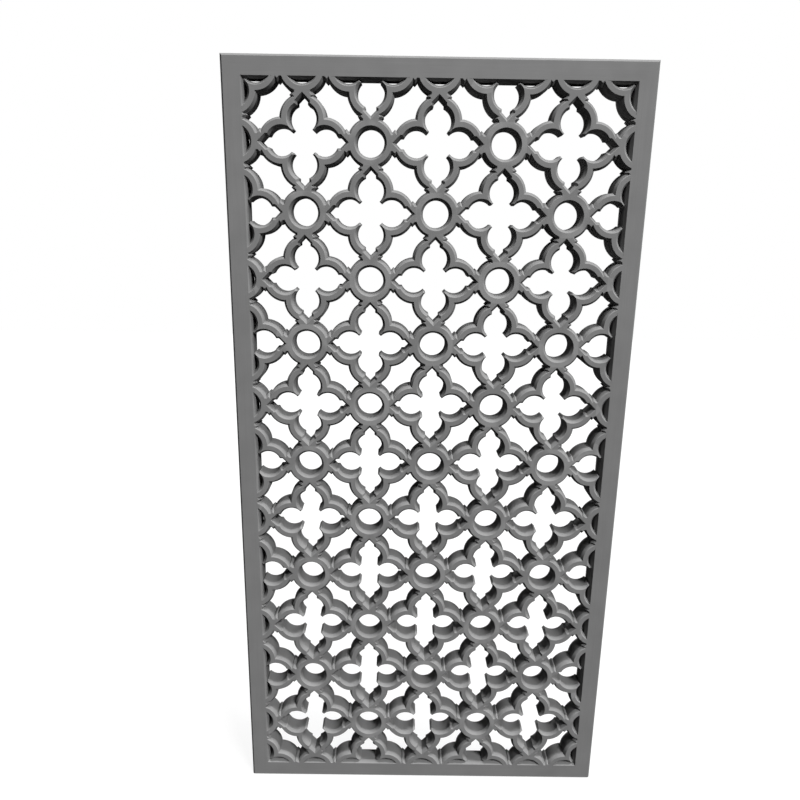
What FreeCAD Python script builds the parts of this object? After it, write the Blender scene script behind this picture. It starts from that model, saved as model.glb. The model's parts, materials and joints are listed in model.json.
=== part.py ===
import FreeCAD, Part
import os

# Pierced lattice panel: ring and quatrefoil blocks, tenoned together inside a mitred frame.
# Millimetres. X runs across the panel, Y through it with the carved face at -Y, and Z up.
# The origin is on the floor, under the middle of the panel.

# The motifs stand on a square grid, quatrefoils and rings by turns. The frame runs along the
# outermost grid lines and holds the inner halves of the motifs there. With even counts a
# quatrefoil stands on every corner.
PITCHES_WIDE = 6
PITCHES_HIGH = 12

# Each driving dimension: its name, its size and what it measures.
SIZES = (
    ("pitch", 145.6, "spacing of the grid"),
    ("thickness", 53.0, "panel from front to back"),
    ("frame_margin", 26.4, "frame outside the outermost grid lines"),
    ("bevel_width", 5.2, "bevel of the front edges, across"),
    ("bevel_depth", 9.3, "bevel of the front edges, into the panel"),
    ("ring_bore", 29.6, "radius of a ring's opening"),
    ("ring_band", 21.7, "breadth of a ring's band"),
    ("ring_flat", 5.5, "cut off a ring's band at each joint face"),
    ("lobe_bore", 29.2, "radius of a lobe's opening"),
    ("lobe_band", 21.3, "breadth of a lobe's band"),
    ("lobe_setback", 53.1, "lobe's centre to its joint face"),
    ("neck_width", 42.8, "breadth of the necks between the motifs"),
    ("tip_width", 23.0, "breadth of a lobe's pointed tip"),
    ("tip_land", 0.9, "from a pointed tip to the joint face"),
    ("bead_rise", 4.4, "bead beside a neck, at the front"),
    ("cusp_trim", 1.6, "cut off the cusps between the lobes"),
    ("tenon_breadth", 18.0, "stub tenon across the neck"),
    ("tenon_depth", 24.0, "stub tenon through the panel"),
    ("mortise_floor", 7.0, "from a mortise to the ring's opening"),
    ("joint_clearance", 0.15, "play on each side of a tenon or spline"),
    ("joint_end_gap", 0.5, "room for glue at the end of a tenon or spline"),
    ("spline_length", 30.0, "mitre spline along the mitre"),
    ("spline_width", 20.0, "mitre spline across the mitre"),
    ("spline_depth", 8.0, "mitre spline through the panel"),
)

# Lengths that follow from the driving dimensions.
FRONT = "(-Sizes.thickness / 2)"
BACK = "(Sizes.thickness / 2)"
BEVEL_END = f"({FRONT} + Sizes.bevel_depth)"
RING_OUTER = "(Sizes.ring_bore + Sizes.ring_band)"
RING_REACH = f"({RING_OUTER} - Sizes.ring_flat)"
LOBE_OUTER = "(Sizes.lobe_bore + Sizes.lobe_band)"
FOIL_REACH = f"(Sizes.pitch - {RING_REACH})"
LOBE_OFFSET = f"({FOIL_REACH} - Sizes.lobe_setback)"
TIP_APEX = f"({FOIL_REACH} - Sizes.tip_land)"
BEAD_REACH = "(Sizes.bead_rise + (sqrt(2) - 1) * Sizes.bevel_width)"
BEAD_OFFSET = f"({FOIL_REACH} - {BEAD_REACH})"
NECK_HALF = "(Sizes.neck_width / 2)"
MORTISE_END = "(Sizes.ring_bore + Sizes.mortise_floor)"
TENON_END = f"(Sizes.pitch - {MORTISE_END} - Sizes.joint_end_gap)"
BAR_WIDTH = f"(Sizes.frame_margin + {NECK_HALF})"
BAR_MIDDLE = f"(({NECK_HALF} - Sizes.frame_margin) / 2)"

# A boss narrows towards the front by the bevel, and an opening widens.
BOSS = "-"
OPENING = "+"

QUARTER_TURN = 90
EIGHTH_TURN = 45
UP = (0, 1)
DIRECTIONS = ((1, 0), UP, (-1, 0), (0, -1))
CENTRE = ("0", "0", 0)
Y_AXIS = FreeCAD.Vector(0, 1, 0)
FRONT_TO_BACK = FreeCAD.Rotation(FreeCAD.Vector(1, 0, 0), -QUARTER_TURN)
BASE_TO_TOP = FreeCAD.Rotation(FreeCAD.Vector(1, 0, 0), QUARTER_TURN)

doc = FreeCAD.newDocument("lattice_panel")
sub_parts = []


def write_sheet():
    """Put the driving dimensions on a sheet, each under its own name."""
    sheet = doc.addObject("Spreadsheet::Sheet", "Sizes")
    for row, (name, size, meaning) in enumerate(SIZES, start=1):
        sheet.set(f"A{row}", name)
        sheet.set(f"B{row}", str(size))
        sheet.set(f"C{row}", meaning)
        sheet.setAlias(f"B{row}", name)
    doc.recompute()


def add(kind, name, at, turn=FreeCAD.Rotation(), **sizes):
    """Add an object with its turn fixed and its place and sizes bound to the sheet."""
    item = doc.addObject(kind, name)
    item.Placement = FreeCAD.Placement(FreeCAD.Vector(), turn)
    for axis, length in zip("xyz", at):
        item.setExpression(f"Placement.Base.{axis}", length)
    for size, length in sizes.items():
        item.setExpression(size, length)
    return item


def unite(name, shapes):
    """Join shapes into one."""
    whole = doc.addObject("Part::MultiFuse", name)
    whole.Shapes = shapes
    whole.Refine = True
    return whole


def subtract(name, base, tool):
    """Cut one shape out of another."""
    rest = doc.addObject("Part::Cut", name)
    rest.Base = base
    rest.Tool = tool
    rest.Refine = True
    return rest


def intersect(name, base, tool):
    """Keep what two shapes share."""
    shared = doc.addObject("Part::Common", name)
    shared.Base = base
    shared.Tool = tool
    shared.Refine = True
    return shared


def repeat(name, original, x, z, degrees=0):
    """Set a copy of a shape at a point of the panel's plane, turned in that plane."""
    copy = add("App::Link", name, (x, "0", z), FreeCAD.Rotation(Y_AXIS, degrees))
    copy.LinkedObject = original
    return copy


def prism(name, half, span, place=CENTRE, front_half=None):
    """Block through a span of the panel, tapered where its front half sizes differ."""
    half_x, half_z = half
    front_x, front_z = front_half or half
    x, z, degrees = place
    return add("Part::Wedge", name, (x, "0", z), FreeCAD.Rotation(Y_AXIS, degrees),
               Ymin=span[0], Xmin=f"-({front_x})", Xmax=front_x, Zmin=f"-({front_z})", Zmax=front_z,
               Ymax=span[1], X2min=f"-({half_x})", X2max=half_x, Z2min=f"-({half_z})", Z2max=half_z)


def bevelled_square(name, half_side, slope, place):
    """Square boss or opening through the panel, bevelled at the front."""
    half = (half_side, half_side)
    front_half = (f"{half_side} {slope} Sizes.bevel_width",) * 2
    return [prism(f"{name}_bevel", half, (FRONT, BEVEL_END), place, front_half),
            prism(f"{name}_wall", half, (BEVEL_END, BACK), place)]


def bevelled_bar(name, half_width, half_length, slope, place):
    """Straight boss or opening along Z before its turn, bevelled at the front along its sides."""
    half = (half_width, half_length)
    front_half = (f"{half_width} {slope} Sizes.bevel_width", half_length)
    return [prism(f"{name}_bevel", half, (FRONT, BEVEL_END), place, front_half),
            prism(f"{name}_wall", half, (BEVEL_END, BACK), place)]


def bevelled_disc(name, radius, slope, x="0", z="0"):
    """Round boss or opening through the panel, bevelled at the front."""
    return [add("Part::Cone", f"{name}_bevel", (x, FRONT, z), FRONT_TO_BACK, Height="Sizes.bevel_depth",
                Radius1=f"{radius} {slope} Sizes.bevel_width", Radius2=radius),
            add("Part::Cylinder", f"{name}_wall", (x, BEVEL_END, z), FRONT_TO_BACK,
                Height="Sizes.thickness - Sizes.bevel_depth", Radius=radius)]


def turn_along(direction):
    """Turn that lays a piece made along Z in one of the grid's directions."""
    return QUARTER_TURN if direction[0] else 0


def along(direction, start, end):
    """Place and half length of a piece between two distances out from a motif's centre."""
    dx, dz = direction
    middle = f"({start} + {end}) / 2"
    return (f"{dx} * {middle}", f"{dz} * {middle}", turn_along(direction)), f"({end} - {start}) / 2"


def joint_block(name, direction, start, end, play="0"):
    """Block of a tenon, or of a mortise with its play, in the middle of the panel's thickness."""
    place, half_length = along(direction, start, end)
    half_breadth = f"Sizes.tenon_breadth / 2 + {play}"
    half_depth = f"(Sizes.tenon_depth / 2 + {play})"
    return prism(name, (half_breadth, half_length), (f"-{half_depth}", half_depth), place)


def tenon(name, direction):
    """Stub tenon of a quatrefoil, rooted behind its joint face."""
    return joint_block(name, direction, TIP_APEX, TENON_END)


def mortise(name, direction):
    """Socket in a ring, open at its joint face."""
    mouth = f"({RING_REACH} + Sizes.joint_end_gap)"
    return joint_block(name, direction, MORTISE_END, mouth, "Sizes.joint_clearance")


def make_ring():
    """Ring without its mortises: a round band with four short necks, flat at the joint faces."""
    bosses = bevelled_disc("ring_boss", RING_OUTER, BOSS)
    for degrees in (0, QUARTER_TURN):
        bosses += bevelled_bar(f"ring_necks_{degrees}", NECK_HALF, RING_REACH, BOSS, ("0", "0", degrees))
    limits = prism("ring_limits", (RING_REACH, RING_REACH), (FRONT, BACK))
    body = intersect("ring_body", unite("ring_bosses", bosses), limits)
    hole = unite("ring_hole", bevelled_disc("ring_bore", "Sizes.ring_bore", OPENING))
    return subtract("plain_ring", body, hole)


def make_beads(name, direction):
    """Two beads at the sides of a quatrefoil's neck, each a small square set on edge."""
    dx, dz = direction
    neck_side = f"({NECK_HALF} - Sizes.bevel_width)"
    half_side = "(Sizes.bead_rise / sqrt(2) + Sizes.bevel_width)"
    beads = []
    for side in (-1, 1):
        x = f"{dx} * {BEAD_OFFSET} + {side * dz} * {neck_side}"
        z = f"{dz} * {BEAD_OFFSET} + {side * dx} * {neck_side}"
        beads += bevelled_square(f"{name}_{side + 1}", half_side, BOSS, (x, z, EIGHTH_TURN))
    return beads


def make_tip(name, direction):
    """Opening of a lobe's tip: a square corner that points outwards, between parallel sides."""
    dx, dz = direction
    lobe = (f"{dx} * {LOBE_OFFSET}", f"{dz} * {LOBE_OFFSET}", EIGHTH_TURN)
    half_side = f"(({TIP_APEX} - {LOBE_OFFSET}) / sqrt(2) - Sizes.bevel_width)"
    place, half_length = along(direction, LOBE_OFFSET, TIP_APEX)
    corner = bevelled_square(f"{name}_square", half_side, OPENING, lobe)
    sides = bevelled_bar(f"{name}_bar", "Sizes.tip_width / 2", half_length, OPENING, place)
    return intersect(name, unite(f"{name}_corner", corner), unite(f"{name}_sides", sides))


def make_foil():
    """Quatrefoil without its tenons: four banded lobes with pointed tips, cusps and beaded necks."""
    bosses = []
    openings = []
    for index, direction in enumerate(DIRECTIONS):
        x, z = (f"{step} * {LOBE_OFFSET}" for step in direction)
        neck, half_length = along(direction, LOBE_OFFSET, FOIL_REACH)
        bosses += bevelled_disc(f"lobe_{index}", LOBE_OUTER, BOSS, x, z)
        bosses += bevelled_bar(f"neck_{index}", NECK_HALF, half_length, BOSS, neck)
        bosses += make_beads(f"bead_{index}", direction)
        openings += bevelled_disc(f"lobe_bore_{index}", "Sizes.lobe_bore", OPENING, x, z)
        openings.append(make_tip(f"tip_{index}", direction))
    # Straight bands tie the lobes to each other, and the cusps are cut off square to the diagonals.
    ties = f"({LOBE_OFFSET} / sqrt(2) + Sizes.lobe_band)"
    bosses += bevelled_square("ties", ties, BOSS, ("0", "0", EIGHTH_TURN))
    cusp_ends = f"(({LOBE_OFFSET} - Sizes.cusp_trim) / sqrt(2))"
    openings += bevelled_square("cusp_ends", cusp_ends, OPENING, ("0", "0", EIGHTH_TURN))
    limits = prism("foil_limits", (FOIL_REACH, FOIL_REACH), (FRONT, BACK))
    body = intersect("foil_body", unite("foil_bosses", bosses), limits)
    return subtract("plain_foil", body, unite("foil_holes", openings))


def is_foil(column, row):
    """Whether a quatrefoil stands on a grid point, and not a ring."""
    return (column + row) % 2 == 0


def make_blocks(ring, foil):
    """A ring or quatrefoil block on every grid point inside the frame, rows counted from the top."""
    mortises = [mortise(f"ring_mortise_{index}", way) for index, way in enumerate(DIRECTIONS)]
    tenons = [tenon(f"foil_tenon_{index}", way) for index, way in enumerate(DIRECTIONS)]
    ring_block = subtract("ring_block", ring, unite("ring_mortises", mortises))
    foil_block = unite("foil_block", [foil] + tenons)
    for row in range(1, PITCHES_HIGH):
        for column in range(1, PITCHES_WIDE):
            kind, block = ("quatrefoil", foil_block) if is_foil(column, row) else ("ring", ring_block)
            x = f"({column} - {PITCHES_WIDE} / 2) * Sizes.pitch"
            z = f"({PITCHES_HIGH} - {row}) * Sizes.pitch + Sizes.frame_margin"
            sub_parts.append(repeat(f"{kind}_row{row:02d}_col{column}", block, x, z))


def upper_half(motif, reach):
    """Half of a motif on the inner side of the frame."""
    half_reach = f"{reach} / 2"
    upper = prism(f"{motif.Name}_upper", (reach, half_reach), (FRONT, BACK), ("0", half_reach, 0))
    return intersect(f"{motif.Name}_half", motif, upper)


def bar_length(name, start, end):
    """Stretch of the frame's bar along X, inner side up, on the grid line at Z = 0."""
    place = (f"({start} + {end}) / 2", BAR_MIDDLE, QUARTER_TURN)
    return bevelled_bar(name, f"{BAR_WIDTH} / 2", f"({end} - {start}) / 2", BOSS, place)


def spline_block(name, x, z, degrees, play="0", end_gap="0"):
    """Mitre spline, or its slot with play and room for glue."""
    half_depth = f"(Sizes.spline_depth / 2 + {play})"
    half = (f"Sizes.spline_length / 2 + {end_gap}", f"Sizes.spline_width / 2 + {end_gap}")
    return prism(name, half, (f"-{half_depth}", half_depth), (x, z, degrees))


def make_corners(name, half_motif, reach):
    """Left and right end of a frame member: a stretch of bar with its half motif, mitred and slotted."""
    outer_end = "(-Sizes.frame_margin)"
    whole = unite(f"{name}_whole", [half_motif] + bar_length(f"{name}_bar", outer_end, reach))
    mitre = add("Part::Wedge", f"{name}_mitre", ("0", "0", outer_end), BASE_TO_TOP,
                Ymin="0", Xmin=outer_end, Xmax=reach, Zmin=FRONT, Zmax=BACK,
                Ymax=f"{reach} - {outer_end}", X2min=reach, X2max=reach, Z2min=FRONT, Z2max=BACK)
    slot = spline_block(f"{name}_slot", BAR_MIDDLE, BAR_MIDDLE, -EIGHTH_TURN,
                        "Sizes.joint_clearance", "Sizes.joint_end_gap")
    left = subtract(f"{name}_left", intersect(f"{name}_mitred", whole, mitre), slot)
    right = doc.addObject("Part::Mirroring", f"{name}_right")
    right.Source = left
    right.Normal = FreeCAD.Vector(1, 0, 0)
    return left, right


def make_cells(name, motif, reach):
    """Stretch of a frame member without its joint, and the two corners, for one kind of motif."""
    half_motif = upper_half(motif, reach)
    middle = unite(f"{name}_stretch", [half_motif] + bar_length(f"{name}_bar", f"(-{reach})", reach))
    return middle, make_corners(f"{name}_corner", half_motif, reach)


def make_member(name, pitches, starts_with_foil, ring_cells, foil_cells):
    """Frame member along X, inner side up, joined from the stretches of its motifs."""
    cells = []
    for step in range(pitches + 1):
        stretch, (left, right) = foil_cells if (step % 2 == 0) == starts_with_foil else ring_cells
        cell = left if step == 0 else right if step == pitches else stretch
        cells.append(repeat(f"{name}_cell_{step}", cell, f"({step} - {pitches} / 2) * Sizes.pitch", "0"))
    return unite(name, cells)


def make_frame(ring, foil):
    """Two rails, two stiles and the splines in their mitres."""
    ring_stretch, ring_corners = make_cells("ring_edge", ring, RING_REACH)
    foil_stretch, foil_corners = make_cells("foil_edge", foil, FOIL_REACH)
    ring_cells = (subtract("ring_cell", ring_stretch, mortise("ring_cell_mortise", UP)), ring_corners)
    foil_cells = (unite("foil_cell", [foil_stretch, tenon("foil_cell_tenon", UP)]), foil_corners)
    side_x = f"({PITCHES_WIDE} / 2 * Sizes.pitch)"
    bottom_z = "Sizes.frame_margin"
    middle_z = f"{PITCHES_HIGH} / 2 * Sizes.pitch + Sizes.frame_margin"
    top_z = f"{PITCHES_HIGH} * Sizes.pitch + Sizes.frame_margin"
    # Each member with its count of pitches, the grid point at its left end as it lies, and its place.
    places = (
        ("bottom_rail", PITCHES_WIDE, (0, PITCHES_HIGH), "0", bottom_z, 0),
        ("top_rail", PITCHES_WIDE, (PITCHES_WIDE, 0), "0", top_z, 2 * QUARTER_TURN),
        ("left_stile", PITCHES_HIGH, (0, 0), f"-{side_x}", middle_z, QUARTER_TURN),
        ("right_stile", PITCHES_HIGH, (PITCHES_WIDE, PITCHES_HIGH), side_x, middle_z, -QUARTER_TURN),
    )
    members = {}
    for label, pitches, left_end, x, z, degrees in places:
        pattern = (pitches, is_foil(*left_end))
        if pattern not in members:
            members[pattern] = make_member(f"member_{len(members)}", *pattern, ring_cells, foil_cells)
        sub_parts.append(repeat(label, members[pattern], x, z, degrees))
    splines = doc.addObject("Part::Compound", "mitre_splines")
    splines.Links = [
        spline_block(f"spline_{end}_{side + 1}", f"{side} * ({side_x} - {BAR_MIDDLE})", z, turn * side)
        for end, z, turn in (("bottom", f"{bottom_z} + {BAR_MIDDLE}", EIGHTH_TURN),
                             ("top", f"{top_z} - {BAR_MIDDLE}", -EIGHTH_TURN))
        for side in (-1, 1)
    ]
    sub_parts.append(splines)


def write_parts():
    """Check every object, then write each sub-part to its own file."""
    doc.recompute()
    for item in doc.Objects:
        if "Invalid" in item.State or "Error" in item.State:
            raise RuntimeError(f"{item.Label} failed")
    # Copies share the shape of their original, so each such shape is looked at once.
    for original in {item.getLinkedObject() for item in sub_parts}:
        if original.Shape.isNull() or not original.Shape.isValid():
            raise RuntimeError(f"{original.Label} has no valid shape")
    os.makedirs("parts", exist_ok=True)
    for item in sub_parts:
        Part.getShape(item).exportStep(f"parts/{item.Label}.step")
    print(f"{len(sub_parts)} sub-parts written")


write_sheet()
plain_ring = make_ring()
plain_foil = make_foil()
make_blocks(plain_ring, plain_foil)
make_frame(plain_ring, plain_foil)
write_parts()
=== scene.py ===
import json
import logging
from dataclasses import dataclass
from enum import Enum
from math import pi, radians

import bmesh
import bpy
from bmesh.types import BMEdge
from bpy.types import Material, Node, NodeSocket, NodeTree, Object
from mathutils import Matrix, Vector

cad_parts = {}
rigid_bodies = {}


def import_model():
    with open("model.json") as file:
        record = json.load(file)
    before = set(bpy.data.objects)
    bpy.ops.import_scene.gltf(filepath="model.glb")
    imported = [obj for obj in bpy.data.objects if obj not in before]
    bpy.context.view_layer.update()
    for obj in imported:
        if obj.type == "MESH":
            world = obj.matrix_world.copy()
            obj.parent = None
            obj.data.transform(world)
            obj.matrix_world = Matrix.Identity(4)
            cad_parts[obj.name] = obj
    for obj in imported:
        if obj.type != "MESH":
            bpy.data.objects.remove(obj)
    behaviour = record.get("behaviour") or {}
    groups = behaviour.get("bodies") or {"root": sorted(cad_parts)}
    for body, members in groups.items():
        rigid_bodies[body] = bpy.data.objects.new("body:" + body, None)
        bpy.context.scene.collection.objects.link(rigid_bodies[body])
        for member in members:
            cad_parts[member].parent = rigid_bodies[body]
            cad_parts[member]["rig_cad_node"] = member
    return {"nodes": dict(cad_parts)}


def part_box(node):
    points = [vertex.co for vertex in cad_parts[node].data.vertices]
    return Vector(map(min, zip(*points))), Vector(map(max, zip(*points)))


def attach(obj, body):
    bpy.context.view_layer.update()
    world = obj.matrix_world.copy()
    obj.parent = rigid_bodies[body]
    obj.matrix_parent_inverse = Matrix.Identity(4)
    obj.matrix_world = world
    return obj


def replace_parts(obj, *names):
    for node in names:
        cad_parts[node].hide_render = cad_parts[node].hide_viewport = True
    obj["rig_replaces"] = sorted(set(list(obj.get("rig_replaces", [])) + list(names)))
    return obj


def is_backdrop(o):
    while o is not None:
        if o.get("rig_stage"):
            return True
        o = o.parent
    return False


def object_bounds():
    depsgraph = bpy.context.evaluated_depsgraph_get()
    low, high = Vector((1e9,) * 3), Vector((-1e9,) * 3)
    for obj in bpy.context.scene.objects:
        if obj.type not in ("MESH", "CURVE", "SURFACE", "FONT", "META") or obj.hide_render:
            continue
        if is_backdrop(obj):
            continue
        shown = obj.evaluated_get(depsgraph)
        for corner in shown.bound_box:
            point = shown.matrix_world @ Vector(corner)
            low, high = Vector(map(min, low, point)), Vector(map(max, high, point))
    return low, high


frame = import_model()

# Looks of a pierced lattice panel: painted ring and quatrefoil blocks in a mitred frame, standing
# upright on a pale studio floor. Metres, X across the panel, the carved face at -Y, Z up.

LOG = logging.getLogger("lattice_panel")
BODY = "root"
MM = 0.001
# Face attribute that is one on eased edges and zero elsewhere.
ARRIS = "arris"
# Bands of a wave texture of scale one, in a length of pi.
BANDS_IN_PI = 10


def linear(hex_colour: str) -> tuple[float, float, float, float]:
    """Turn an sRGB hex colour to linear light.

    Args:
        hex_colour: Six hex digits after a hash sign.

    Returns:
        Linear red, green and blue, and an alpha of one.
    """
    channels = (int(hex_colour[start:start + 2], 16) / 255 for start in (1, 3, 5))
    red, green, blue = (c / 12.92 if c <= 0.04045 else ((c + 0.055) / 1.055) ** 2.4 for c in channels)
    return red, green, blue, 1.0


def add_node(tree: NodeTree, kind: str, inputs: dict[str | int, object] | None = None,
             links: dict[str | int, NodeSocket] | None = None, **settings: object) -> Node:
    """Add a node with its settings, socket values and links.

    Args:
        tree: Node tree that takes the node.
        kind: Type of the node.
        inputs: Value of each input socket that is set, by name or number.
        links: Output socket that feeds each linked input, by name or number.
        **settings: The node's own settings.

    Returns:
        The new node.
    """
    node = tree.nodes.new(kind)
    for name, value in settings.items():
        setattr(node, name, value)
    for socket, value in (inputs or {}).items():
        node.inputs[socket].default_value = value
    for socket, source in (links or {}).items():
        tree.links.new(source, node.inputs[socket])
    return node


def empty_material(name: str) -> tuple[Material, NodeTree, Node]:
    """Make a material with nothing but its output.

    Args:
        name: Name of the material.

    Returns:
        The material, its node tree and the output node.
    """
    material = bpy.data.materials.new(name)
    material.use_nodes = True
    tree = material.node_tree
    tree.nodes.clear()
    return material, tree, add_node(tree, "ShaderNodeOutputMaterial")


def seen_ray(tree: NodeTree) -> NodeSocket:
    """Tell the rays that the eye follows from those that only carry light.

    Args:
        tree: Node tree that asks.

    Returns:
        Socket that is one for camera rays, reflections and transmitted rays.
    """
    path = add_node(tree, "ShaderNodeLightPath")
    mirrored = add_node(tree, "ShaderNodeMath", None,
                        {0: path.outputs["Is Camera Ray"], 1: path.outputs["Is Glossy Ray"]},
                        operation="MAXIMUM")
    return add_node(tree, "ShaderNodeMath", None,
                    {0: mirrored.outputs[0], 1: path.outputs["Is Transmission Ray"]},
                    operation="MAXIMUM").outputs[0]


def dress(piece: Object, material: Material) -> None:
    """Give a piece one finish all over."""
    piece.data.materials.clear()
    piece.data.materials.append(material)


class Grain(Enum):
    """Way that the wood's grain runs, as the axis that the streaks are drawn out along."""

    ACROSS = 0
    UPRIGHT = 2

    def stretch(self, width: float, length: float) -> tuple[float, float, float]:
        """Scale that draws a pattern out along the grain.

        Args:
            width: Breadth of one streak, in millimetres.
            length: Length of one streak, in millimetres.

        Returns:
            Streaks to the metre along each axis.
        """
        sizes = [width * MM] * 3
        sizes[self.value] = length * MM
        return tuple(1 / size for size in sizes)


@dataclass(frozen=True)
class PaintedHardwood:
    """Hardwood under two coats of dead flat paint, laid off with a brush along the grain.

    The eye sees an even grey without any shine, faint streaks where the brush and the grain show
    through the film, slow drifts of tone where the coat is thicker or thinner, and paler patches
    along the eased edges, where handling has rubbed it down to the undercoat.

    Attributes:
        name: Name of the material.
        grain: Way that the grain and the brush run.
        light: Paint where the coat is thick.
        dark: Paint where the coat is thin.
        undercoat: Colour under the paint.
        tone_range: Tones between which dark turns to light.
        roughness: Roughness of the film.
        roughness_drift: How far the roughness goes up and down with the tone.
        ior: Refraction of the film.
        gloss: Level of the film's shine, none on dead flat paint.
        streak_width: Breadth of a brush mark, in millimetres.
        streak_length: Length of a brush mark, in millimetres.
        streak_share: Share of the brush marks in the tone. The drifts have the rest.
        streak_strength: Strength of the brush marks' relief.
        cloud_size: Size of a drift of tone, in millimetres.
        rubbed_range: Drifts between which the edges go from whole to rubbed.
        rubbed_most: Share of the undercoat where an edge is rubbed most.
        stipple_size: Size of the film's fine grain, in millimetres.
        stipple_strength: Strength of the fine grain's relief.
        film_relief: Height of the film's unevenness, in millimetres.
    """

    name: str
    grain: Grain
    light: str = "#808080"
    dark: str = "#777777"
    undercoat: str = "#8E8E8E"
    tone_range: tuple[float, float] = (0.3, 0.7)
    roughness: float = 0.9
    roughness_drift: float = 0.06
    ior: float = 1.48
    gloss: float = 0.0
    # Bristle marks are well under a millimetre wide, and are drawn coarser so that they show.
    streak_width: float = 3.0
    streak_length: float = 160.0
    streak_share: float = 0.4
    streak_strength: float = 0.6
    cloud_size: float = 70.0
    rubbed_range: tuple[float, float] = (0.45, 0.6)
    rubbed_most: float = 0.8
    stipple_size: float = 1.6
    stipple_strength: float = 0.25
    film_relief: float = 0.05

    def material(self) -> Material:
        """Build the material.

        Returns:
            The paint, patterned on the piece's own coordinates.
        """
        material, tree, output = empty_material(self.name)
        coordinates = add_node(tree, "ShaderNodeTexCoord").outputs["Object"]
        along = add_node(tree, "ShaderNodeMapping",
                         {"Scale": self.grain.stretch(self.streak_width, self.streak_length)},
                         {"Vector": coordinates})
        streaks = add_node(tree, "ShaderNodeTexNoise", {"Scale": 1.0, "Detail": 3.0, "Roughness": 0.6},
                           {"Vector": along.outputs["Vector"]})
        clouds = add_node(tree, "ShaderNodeTexNoise",
                          {"Scale": 1 / (self.cloud_size * MM), "Detail": 2.0}, {"Vector": coordinates})
        stipple = add_node(tree, "ShaderNodeTexNoise",
                           {"Scale": 1 / (self.stipple_size * MM), "Detail": 1.0}, {"Vector": coordinates})
        tone = add_node(tree, "ShaderNodeMix", {"Factor": self.streak_share},
                        {"A": clouds.outputs["Fac"], "B": streaks.outputs["Fac"]})
        colour = add_node(tree, "ShaderNodeValToRGB", None, {"Fac": tone.outputs["Result"]})
        low, high = colour.color_ramp.elements
        low.position, high.position = self.tone_range
        low.color, high.color = linear(self.dark), linear(self.light)
        arris = add_node(tree, "ShaderNodeAttribute", attribute_name=ARRIS)
        whole, rubbed_through = self.rubbed_range
        patches = add_node(tree, "ShaderNodeMapRange",
                           {"From Min": whole, "From Max": rubbed_through, "To Max": self.rubbed_most},
                           {"Value": clouds.outputs["Fac"]})
        rubbed = add_node(tree, "ShaderNodeMath", None,
                          {0: arris.outputs["Fac"], 1: patches.outputs["Result"]}, operation="MULTIPLY")
        coat = add_node(tree, "ShaderNodeMix", {"B": linear(self.undercoat)},
                        {"Factor": rubbed.outputs["Value"], "A": colour.outputs["Color"]}, data_type="RGBA")
        matt = add_node(tree, "ShaderNodeMapRange",
                        {"To Min": self.roughness - self.roughness_drift,
                         "To Max": self.roughness + self.roughness_drift},
                        {"Value": tone.outputs["Result"]})
        brushed = add_node(tree, "ShaderNodeBump",
                           {"Strength": self.streak_strength, "Distance": self.film_relief * MM},
                           {"Height": streaks.outputs["Fac"]})
        film = add_node(tree, "ShaderNodeBump",
                        {"Strength": self.stipple_strength, "Distance": self.film_relief * MM},
                        {"Height": stipple.outputs["Fac"], "Normal": brushed.outputs["Normal"]})
        paint = add_node(tree, "ShaderNodeBsdfPrincipled",
                         {"IOR": self.ior, "Specular IOR Level": self.gloss},
                         {"Base Color": coat.outputs["Result"], "Roughness": matt.outputs["Result"],
                          "Normal": film.outputs["Normal"]})
        tree.links.new(paint.outputs["BSDF"], output.inputs["Surface"])
        return material


@dataclass(frozen=True)
class SawnBeech:
    """Bare beech, straight from the saw.

    The eye sees a pale pinkish brown with fine darker flecks along the grain, the saw's even marks
    across it and no shine.

    Attributes:
        name: Name of the material.
        light: Colour between the flecks.
        dark: Colour of the flecks.
        tone_range: Tones between which dark turns to light.
        roughness: Roughness of the sawn face.
        fleck_width: Breadth of a fleck, in millimetres.
        fleck_length: Length of a fleck, in millimetres.
        saw_pitch: From one mark of the saw to the next, in millimetres.
        saw_relief: Depth of the saw's marks, in millimetres.
    """

    name: str = "sawn_beech"
    light: str = "#C9A27C"
    dark: str = "#A97F58"
    tone_range: tuple[float, float] = (0.35, 0.6)
    roughness: float = 0.8
    fleck_width: float = 0.8
    fleck_length: float = 9.0
    saw_pitch: float = 1.5
    saw_relief: float = 0.08

    def material(self) -> Material:
        """Build the material.

        Returns:
            The wood, patterned on the piece's own coordinates.
        """
        material, tree, output = empty_material(self.name)
        coordinates = add_node(tree, "ShaderNodeTexCoord").outputs["Object"]
        along = add_node(tree, "ShaderNodeMapping",
                         {"Scale": Grain.UPRIGHT.stretch(self.fleck_width, self.fleck_length)},
                         {"Vector": coordinates})
        flecks = add_node(tree, "ShaderNodeTexNoise", {"Scale": 1.0, "Detail": 4.0},
                          {"Vector": along.outputs["Vector"]})
        colour = add_node(tree, "ShaderNodeValToRGB", None, {"Fac": flecks.outputs["Fac"]})
        low, high = colour.color_ramp.elements
        low.position, high.position = self.tone_range
        low.color, high.color = linear(self.dark), linear(self.light)
        marks = add_node(tree, "ShaderNodeTexWave", {"Scale": pi / (BANDS_IN_PI * self.saw_pitch * MM)},
                         {"Vector": coordinates}, bands_direction="Z")
        sawn = add_node(tree, "ShaderNodeBump", {"Distance": self.saw_relief * MM},
                        {"Height": marks.outputs["Fac"]})
        wood = add_node(tree, "ShaderNodeBsdfPrincipled", {"Roughness": self.roughness},
                        {"Base Color": colour.outputs["Color"], "Normal": sawn.outputs["Normal"]})
        tree.links.new(wood.outputs["BSDF"], output.inputs["Surface"])
        return material


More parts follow.
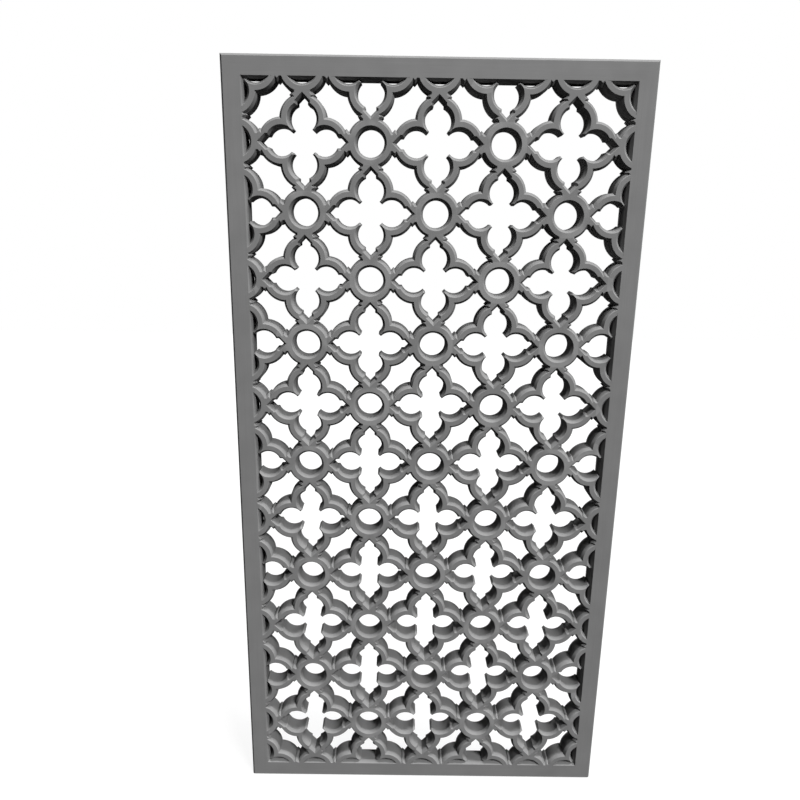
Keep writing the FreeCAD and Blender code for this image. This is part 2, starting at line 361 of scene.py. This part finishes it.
@dataclass(frozen=True)
class StudioPaper:
    """Seamless white paper on the floor: white to the eye, dimmed only by the panel's shadow.

    Attributes:
        name: Name of the material.
        glow: Whiteness that the eye sees in full shadow.
        shade: Colour that takes the light and the shadow.
        bounce: Colour by which the paper lights the panel.
    """

    name: str = "studio_paper"
    glow: float = 0.93
    shade: str = "#5E5E5E"
    bounce: str = "#202020"

    def material(self) -> Material:
        """Build the material.

        Returns:
            Paper that looks white to the camera and in reflections, and bounces little light.
        """
        material, tree, output = empty_material(self.name)
        seen = seen_ray(tree)
        glow = add_node(tree, "ShaderNodeEmission", {"Strength": self.glow})
        shade = add_node(tree, "ShaderNodeBsdfDiffuse", {"Color": linear(self.shade)})
        white = add_node(tree, "ShaderNodeAddShader", None, {0: glow.outputs[0], 1: shade.outputs[0]})
        bounce = add_node(tree, "ShaderNodeBsdfDiffuse", {"Color": linear(self.bounce)})
        paper = add_node(tree, "ShaderNodeMixShader", None,
                         {0: seen, 1: bounce.outputs[0], 2: white.outputs[0]})
        tree.links.new(paper.outputs[0], output.inputs["Surface"])
        return material


@dataclass(frozen=True)
class Seams:
    """Planes on which the pieces meet, where the edges stay sharp so that no seam shows.

    Attributes:
        pitch: Spacing of the grid that the motifs stand on.
        ring_reach: From a ring's centre to its joint faces.
        margin: Frame outside the outermost grid lines.
        half_width: Half of the panel's breadth.
        height: Panel's height.
        back: Plane of the panel's back.
        tenon_half_depth: Half of the joints' depth through the panel, with room to spare.
        slack: How near to a plane counts as on it.
    """

    pitch: float
    ring_reach: float
    margin: float
    half_width: float
    height: float
    back: float
    tenon_half_depth: float = 13.0 * MM
    slack: float = 0.02 * MM

    @classmethod
    def of_panel(cls, ring: str = "ring_row01_col2", next_ring: str = "ring_row01_col4") -> "Seams":
        """Work the planes out from the solids.

        Args:
            ring: Ring in the top row of blocks.
            next_ring: Next ring in that row, two pitches away.

        Returns:
            The panel's seams.
        """
        low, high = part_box(ring)
        far_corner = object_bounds()[1]
        pitch = (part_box(next_ring)[0].x - low.x) / 2
        return cls(pitch=pitch, ring_reach=(high.x - low.x) / 2,
                   margin=far_corner.z - pitch - (low.z + high.z) / 2,
                   half_width=far_corner.x, height=far_corner.z, back=far_corner.y)

    def off_grid(self, place: float) -> float:
        """Distance from the nearest grid line, along one axis."""
        return abs(place - round(place / self.pitch) * self.pitch)

    def off_mitre(self, point: Vector) -> float:
        """Distance from the nearest mitre, as the difference of the distances from two outer edges."""
        from_end = min(point.z, self.height - point.z)
        return abs(self.half_width - abs(point.x) - from_end)

    def inside_frame(self, point: Vector) -> bool:
        """Tell whether a point is clear of the panel's outer edges."""
        from_sides = min(self.half_width - abs(point.x), point.z, self.height - point.z)
        return from_sides > self.slack

    def hold(self, edge: BMEdge) -> bool:
        """Tell whether an edge lies on a joint face or inside a joint.

        Args:
            edge: Edge of a piece in its place.

        Returns:
            True where the edge stays sharp.
        """
        ends = [vert.co for vert in edge.verts]
        return (all(abs(self.off_grid(end.x) - self.ring_reach) < self.slack for end in ends)
                or all(abs(self.off_grid(end.z - self.margin) - self.ring_reach) < self.slack for end in ends)
                or all(self.off_mitre(end) < self.slack for end in ends)
                or all(abs(end.y) < self.tenon_half_depth for end in ends))


@dataclass
class CarvedPieces:
    """Pieces cut from boards, whose outer edges are eased with abrasive paper before painting.

    Attributes:
        seams: Planes on which the pieces meet.
        slot: Material slot of the pieces, not used.
        ease: Breadth of an eased edge.
        ease_steps: Faces across an eased edge.
        sharp: Least turn of an edge that is eased, in degrees.
        crease: Least turn of an edge that is not shaded smooth, in degrees.
        flat: Turn of an edge that is too slight to keep, in degrees.
        merge: How near two points are taken as one.
        face_weight: How far the large faces decide the shading, where 50 is neutral.
    """

    seams: Seams
    slot: str
    ease: float = 0.6 * MM
    ease_steps: int = 2
    sharp: float = 50.0
    crease: float = 20.0
    flat: float = 1.0
    merge: float = 0.002 * MM
    face_weight: int = 100

    def takes_ease(self, edge: BMEdge) -> bool:
        """Tell whether an edge is eased.

        Args:
            edge: Edge of a piece in its place.

        Returns:
            True for an outer corner off the joints that has room round it.
        """
        # An edge beside eased ones can lose their breadth at both of its ends.
        room = min(near.calc_length() for vert in edge.verts for near in vert.link_edges)
        return (edge.is_convex and edge.calc_face_angle(0.0) > radians(self.sharp)
                and room > 2 * self.ease and not self.seams.hold(edge))

    def carve(self, node: str) -> Object:
        """Model a piece from its solid, with its outer edges eased.

        Args:
            node: Name of the solid.

        Returns:
            The new piece, in the solid's place.
        """
        piece = frame["nodes"][node].copy()
        piece.data = piece.data.copy()
        self.settle(piece, node)
        bpy.ops.object.select_all(action="DESELECT")
        piece.select_set(True)
        bpy.context.view_layer.objects.active = piece
        bpy.ops.object.mode_set(mode="EDIT")
        bpy.ops.mesh.select_all(action="SELECT")
        bpy.ops.mesh.remove_doubles(threshold=self.merge)
        bpy.ops.mesh.customdata_custom_splitnormals_clear()
        bpy.ops.mesh.dissolve_limited(angle_limit=radians(self.flat))
        bpy.ops.mesh.select_all(action="DESELECT")
        mesh = bmesh.from_edit_mesh(piece.data)
        for edge in mesh.edges:
            edge.select_set(self.takes_ease(edge))
        bmesh.update_edit_mesh(piece.data)
        bpy.ops.mesh.bevel(offset=self.ease, offset_type="OFFSET", segments=self.ease_steps, profile=0.5,
                           affect="EDGES", clamp_overlap=False, loop_slide=False)
        bpy.ops.object.mode_set(mode="OBJECT")
        # The new faces along the eased edges are left selected, and the paint is rubbed there.
        arris = piece.data.attributes.new(ARRIS, "FLOAT", "FACE")
        arris.data.foreach_set("value", [float(face.select) for face in piece.data.polygons])
        bpy.ops.object.shade_smooth_by_angle(angle=radians(self.crease))
        flatten = piece.modifiers.new("flat_faces", "WEIGHTED_NORMAL")
        flatten.keep_sharp = True
        flatten.weight = self.face_weight
        bpy.ops.object.modifier_apply(modifier=flatten.name)
        return piece

    def repeat(self, master: Object, master_node: str, node: str) -> Object:
        """Set a copy of a carved piece in the place of another solid of the same shape.

        Args:
            master: Piece to copy.
            master_node: Solid that the piece stands for.
            node: Solid that the copy stands for.

        Returns:
            The copy, with a mesh of its own.
        """
        piece = master.copy()
        piece.data = master.data.copy()
        piece.data.transform(Matrix.Translation(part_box(node)[0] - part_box(master_node)[0]))
        self.settle(piece, node)
        return piece

    def settle(self, piece: Object, node: str) -> None:
        """Name a piece, show it in place of its solid and let it ride on the panel.

        Args:
            piece: New piece.
            node: Solid that it stands for.
        """
        piece.name = f"{node}_carved"
        piece.data.name = piece.name
        piece.parent = None
        # A copy still carries the marks of what it was copied from.
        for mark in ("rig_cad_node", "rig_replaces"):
            piece.pop(mark, None)
        bpy.context.scene.collection.objects.link(piece)
        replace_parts(piece, node)
        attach(piece, BODY)


@dataclass
class Lattice(CarvedPieces):
    """Ring and quatrefoil blocks.

    Attributes:
        slot: Material slot of the blocks, not used.
        kinds: First part of the name of each kind of block.
        finish: Paint of the blocks.
    """

    slot: str = "lattice_paint"
    kinds: tuple[str, ...] = ("ring_", "quatrefoil_")
    finish: PaintedHardwood = PaintedHardwood("painted_hardwood_blocks", Grain.UPRIGHT)

    def build(self) -> None:
        """Carve one block of each kind, repeat it and dress the blocks."""
        paint = self.finish.material()
        for kind in self.kinds:
            first, *others = sorted(name for name in frame["nodes"] if name.startswith(kind))
            master = self.carve(first)
            dress(master, paint)
            LOG.info("%s: carved, %s", master.name, paint.name)
            for node in others:
                LOG.info("%s: copied", self.repeat(master, first, node).name)


@dataclass
class Border(CarvedPieces):
    """Rails and stiles of the frame.

    Attributes:
        slot: Material slot of the frame, not used.
        rails: Solids of the bars that lie across.
        stiles: Solids of the bars that stand upright.
        rail_finish: Paint of the rails.
        stile_finish: Paint of the stiles.
    """

    slot: str = "frame_paint"
    rails: tuple[str, ...] = ("top_rail", "bottom_rail")
    stiles: tuple[str, ...] = ("left_stile", "right_stile")
    rail_finish: PaintedHardwood = PaintedHardwood("painted_hardwood_rails", Grain.ACROSS)
    stile_finish: PaintedHardwood = PaintedHardwood("painted_hardwood_stiles", Grain.UPRIGHT)

    def takes_ease(self, edge: BMEdge) -> bool:
        """Tell whether an edge is eased.

        Args:
            edge: Edge of a piece in its place.

        Returns:
            True as for the blocks, but the back of the openings stays square.
        """
        rim = all(vert.co.y > self.seams.back - self.seams.slack and self.seams.inside_frame(vert.co)
                  for vert in edge.verts)
        return not rim and super().takes_ease(edge)

    def build(self) -> None:
        """Carve and dress the rails and stiles, each with its grain lengthwise."""
        for nodes, finish in ((self.rails, self.rail_finish), (self.stiles, self.stile_finish)):
            paint = finish.material()
            for node in nodes:
                piece = self.carve(node)
                dress(piece, paint)
                LOG.info("%s: carved, %s", piece.name, paint.name)


@dataclass
class Splines:
    """Loose tongues in the mitres.

    Attributes:
        node: Name of their solids.
        finish: Wood of the splines.
    """

    node: str = "mitre_splines"
    finish: SawnBeech = SawnBeech()

    def build(self) -> None:
        """Dress the splines."""
        dress(frame["nodes"][self.node], self.finish.material())
        LOG.info("%s: %s", self.node, self.finish.name)


@dataclass(frozen=True)
class Lamp:
    """Distant lamp with a soft edge.

    Attributes:
        name: Name of the lamp.
        towards: Direction from the panel to the lamp.
        strength: Light on a surface that faces it.
        spread: Breadth of the lamp as seen from the panel, in degrees.
        distance: How far off it is drawn, which doesn't change its light.
    """

    name: str
    towards: tuple[float, float, float]
    strength: float
    spread: float
    distance: float = 4.0

    def build(self) -> None:
        """Hang the lamp."""
        light = bpy.data.lights.new(self.name, "SUN")
        light.energy = self.strength
        light.angle = radians(self.spread)
        lamp = bpy.data.objects.new(self.name, light)
        lamp.rotation_euler = Vector(self.towards).to_track_quat("Z", "Y").to_euler()
        lamp.location = Vector(self.towards).normalized() * self.distance
        bpy.context.scene.collection.objects.link(lamp)


@dataclass(frozen=True)
class NearLamp:
    """Small lamp near the panel, whose light falls off across it.

    Attributes:
        name: Name of the lamp.
        place: Where it hangs.
        power: Power, in watts.
        radius: Radius of its globe.
    """

    name: str
    place: tuple[float, float, float]
    power: float
    radius: float

    def build(self) -> None:
        """Hang the lamp."""
        light = bpy.data.lights.new(self.name, "POINT")
        light.energy = self.power
        light.shadow_soft_size = self.radius
        lamp = bpy.data.objects.new(self.name, light)
        lamp.location = self.place
        bpy.context.scene.collection.objects.link(lamp)


@dataclass
class Studio:
    """Floor, lamps, surroundings and camera.

    Attributes:
        floor_size: Side of the square floor.
        fill: Light of the surroundings on the panel.
        paper: Finish of the floor.
        lamps: Lamps round the panel.
        camera_place: Where the camera stands.
        camera_turn: The camera's turns about X, Y and Z, in degrees.
        lens: Focal length, in millimetres.
        shift_y: The lens's shift, as a share of the frame.
    """

    floor_size: float = 16.0
    fill: float = 0.01
    paper: StudioPaper = StudioPaper()
    lamps: tuple[Lamp | NearLamp, ...] = (
        Lamp("key", towards=(0.388, -0.682, 0.620), strength=3.0, spread=12.0),
        Lamp("top", towards=(0.322, -0.139, 0.936), strength=3.6, spread=12.0),
        NearLamp("corner", place=(0.4, -0.93, 3.0), power=37.0, radius=0.2),
        Lamp("back", towards=(0.0, 1.0, 0.03), strength=2.75, spread=4.0),
        Lamp("side", towards=(-0.985, 0.14, 0.1), strength=0.6, spread=4.0),
    )
    camera_place: tuple[float, float, float] = (-0.0813, -1.8584, 1.4894)
    camera_turn: tuple[float, float, float] = (72.853, -0.834, -0.033)
    lens: float = 35.775
    shift_y: float = 0.07

    def build(self) -> None:
        """Set up the floor, the light and the camera."""
        self.lay_floor()
        self.light_world()
        for lamp in self.lamps:
            lamp.build()
        self.place_camera()

    def lay_floor(self) -> None:
        """Lay the paper under the panel."""
        bpy.ops.object.select_all(action="DESELECT")
        bpy.ops.mesh.primitive_plane_add(size=self.floor_size)
        floor = bpy.context.object
        floor.name = "studio_floor"
        dress(floor, self.paper.material())
        floor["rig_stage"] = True

    def light_world(self) -> None:
        """Surround the panel with white that lights it only faintly."""
        world = bpy.data.worlds.new("studio")
        bpy.context.scene.world = world
        world.use_nodes = True
        tree = world.node_tree
        tree.nodes.clear()
        output = add_node(tree, "ShaderNodeOutputWorld")
        strength = add_node(tree, "ShaderNodeMapRange", {"To Min": self.fill, "To Max": 1.0},
                            {"Value": seen_ray(tree)})
        white = add_node(tree, "ShaderNodeBackground", {"Color": (1.0, 1.0, 1.0, 1.0)},
                         {"Strength": strength.outputs["Result"]})
        tree.links.new(white.outputs[0], output.inputs["Surface"])

    def place_camera(self) -> None:
        """Look down on the carved face from the left of its middle."""
        data = bpy.data.cameras.new("camera")
        data.lens = self.lens
        data.shift_y = self.shift_y
        camera = bpy.data.objects.new("camera", data)
        camera.location = self.camera_place
        camera.rotation_euler = [radians(angle) for angle in self.camera_turn]
        bpy.context.scene.collection.objects.link(camera)
        bpy.context.scene.camera = camera


def main() -> None:
    """Build and dress the panel in its studio."""
    logging.basicConfig(level=logging.INFO)
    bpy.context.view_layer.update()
    bpy.context.scene.view_settings.view_transform = "Standard"
    seams = Seams.of_panel()
    for assembly in (Lattice(seams), Border(seams), Splines(), Studio()):
        assembly.build()


if __name__ == "__main__":
    main()
